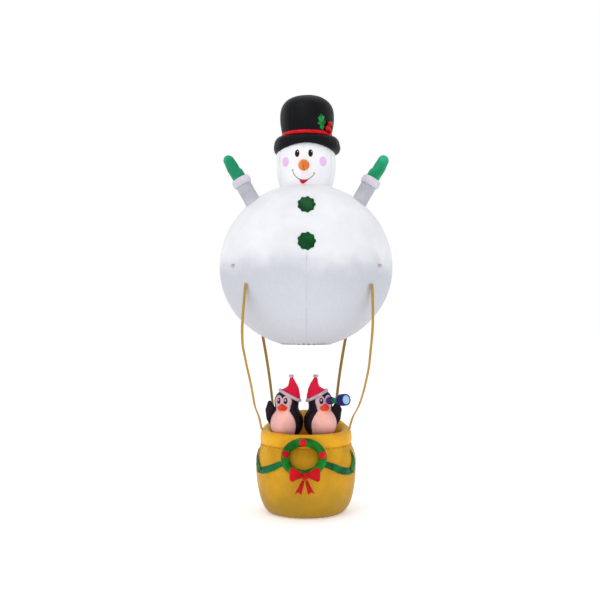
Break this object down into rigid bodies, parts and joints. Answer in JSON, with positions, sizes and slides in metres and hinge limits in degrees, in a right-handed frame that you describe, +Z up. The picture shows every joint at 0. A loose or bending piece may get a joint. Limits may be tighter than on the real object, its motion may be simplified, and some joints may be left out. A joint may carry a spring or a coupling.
{
  "type": "inflatable yard snowman",
  "caption": "Inflatable snowman shaped as a hot-air balloon over a basket with two penguins, held by webbing straps.",
  "frame": {"origin": "on the ground under the balloon centre", "axes": "+Z up, front faces -Y, +X to the right seen from the front"},
  "size_m": [1.5198, 1.5199, 3.657],
  "materials": {
    "yellow_fabric": "coated polyester taffeta, golden yellow",
    "zipper_fabric": "woven zipper tape with moulded teeth",
    "sand_bag": "heavy woven polyester",
    "ribbon_green": "polyester taffeta, dark green",
    "wreath_green": "polyester taffeta, leaf green",
    "red_fabric": "polyester taffeta, bright red",
    "steel": "nickel-plated steel",
    "white_plastic": "moulded plastic, fine texture",
    "dark_plastic": "moulded plastic, fine texture",
    "clear_vinyl": "clear flexible vinyl film",
    "black_fabric": "polyester taffeta, black",
    "belly_fabric": "polyester taffeta, lit from inside",
    "beak_orange": "polyester taffeta, orange",
    "santa_red": "polyester taffeta, crimson",
    "trim_fabric": "polyester taffeta, pale lilac gray",
    "purple_fabric": "polyester taffeta, purple",
    "scope_green": "polyester taffeta, green",
    "navy_fabric": "polyester taffeta, navy",
    "lens_blue": "polyester taffeta, pale blue",
    "gold_webbing": "woven polyester webbing",
    "white_fabric": "polyester taffeta, white",
    "button_green": "polyester taffeta, dark green",
    "mitten_green": "polyester taffeta, sea green",
    "tab_webbing": "woven polyester webbing, pink"
  },
  "bodies": {
    "basket": {"basket_shell": "yellow_fabric", "basket_base": "yellow_fabric", "basket_deck": "yellow_fabric", "basket_rim": "yellow_fabric", "ballast_bag": "sand_bag", "zipper_tape": "zipper_fabric", "ribbon_swag": "ribbon_green", "wreath_ring": "wreath_green", "wreath_berries": "red_fabric", "bow_loops": "red_fabric", "bow_tails": "red_fabric", "stake_tabs": "yellow_fabric", "stake_grommets": "steel", "blower_housing": "white_plastic", "blower_motor": "dark_plastic", "blower_grille": "white_plastic", "cord_gland": "dark_plastic", "air_column": "clear_vinyl", "lower_lamps": "white_plastic", "penguin_left": "black_fabric", "penguin_right": "black_fabric", "penguin_bellies": "belly_fabric", "penguin_faces": "belly_fabric", "penguin_eyes": "black_fabric", "penguin_beaks": "beak_orange", "penguin_flippers": "black_fabric", "penguin_hats": "santa_red", "penguin_hat_trims": "trim_fabric", "telescope_eyepiece": "purple_fabric", "telescope_tube": "scope_green", "telescope_objective": "navy_fabric", "telescope_lens": "lens_blue", "strap_front_left": "gold_webbing", "strap_front_right": "gold_webbing", "strap_rear_left": "gold_webbing", "strap_rear_right": "gold_webbing"},
    "balloon": {"balloon_shell": "white_fabric", "balloon_floor": "white_fabric", "head_shell": "white_fabric", "hat_crown": "black_fabric", "hat_brim": "black_fabric", "hat_band": "red_fabric", "holly_leaves": "wreath_green", "holly_berries": "red_fabric", "snowman_face": "black_fabric", "carrot_nose": "beak_orange", "coat_buttons": "button_green", "snowman_arms": "trim_fabric", "arm_cuffs": "trim_fabric", "mittens": "mitten_green", "tether_tabs": "tab_webbing", "upper_lamp": "white_plastic"},
    "impeller": {"blower_impeller": "dark_plastic"},
    "lock_ring_body": {"lock_ring": "dark_plastic"},
    "zip_slider": {"zipper_slider": "steel"},
    "zip_pull": {"zipper_pull": "steel"},
    "tether_front_left": {"tether_ring_front_left": "steel"},
    "tether_front_right": {"tether_ring_front_right": "steel"},
    "tether_rear_left": {"tether_ring_rear_left": "steel"},
    "tether_rear_right": {"tether_ring_rear_right": "steel"}
  },
  "joints": [
    {"name": "balloon_sway", "type": "hinge", "parent": "basket", "child": "balloon", "pos_m": [0, 0.112, 0.9], "axis": [0, 1, 0], "range_deg": [-4, 4], "stiffness_Nm_per_rad": 900, "deforming": ["strap_front_left", "strap_front_right", "strap_rear_left", "strap_rear_right", "air_column"]},
    {"name": "impeller_spin", "type": "hinge", "parent": "basket", "child": "impeller", "pos_m": [0, 0.41, 0.2], "axis": [0, 1, 0], "continuous": true},
    {"name": "lock_ring_twist", "type": "hinge", "parent": "basket", "child": "lock_ring_body", "pos_m": [0, 0.4444, 0.2], "axis": [0, 1, 0], "range_deg": [0, 30]},
    {"name": "zipper_slide", "type": "hinge", "parent": "basket", "child": "zip_slider", "pos_m": [0, 0, 0.4], "axis": [0, 0, 1], "range_deg": [0, 43]},
    {"name": "zipper_pull_swing", "type": "hinge", "parent": "zip_slider", "child": "zip_pull", "pos_m": [-0.1682, 0.41631, 0.406], "axis": [0.9272, 0.3746, 0], "range_deg": [0, 120]},
    {"name": "tether_swing_front_left", "type": "hinge", "parent": "balloon", "child": "tether_front_left", "pos_m": [-0.61655, -0.4646, 2.136], "axis": [-0.6018, 0.7986, 0], "range_deg": [-20, 120]},
    {"name": "tether_swing_front_right", "type": "hinge", "parent": "balloon", "child": "tether_front_right", "pos_m": [0.61655, -0.4646, 2.136], "axis": [-0.6018, -0.7986, 0], "range_deg": [-20, 120]},
    {"name": "tether_swing_rear_left", "type": "hinge", "parent": "balloon", "child": "tether_rear_left", "pos_m": [-0.61655, 0.4646, 2.136], "axis": [0.6018, 0.7986, 0], "range_deg": [-20, 120]},
    {"name": "tether_swing_rear_right", "type": "hinge", "parent": "balloon", "child": "tether_rear_right", "pos_m": [0.61655, 0.4646, 2.136], "axis": [0.6018, -0.7986, 0], "range_deg": [-20, 120]}
  ]
}
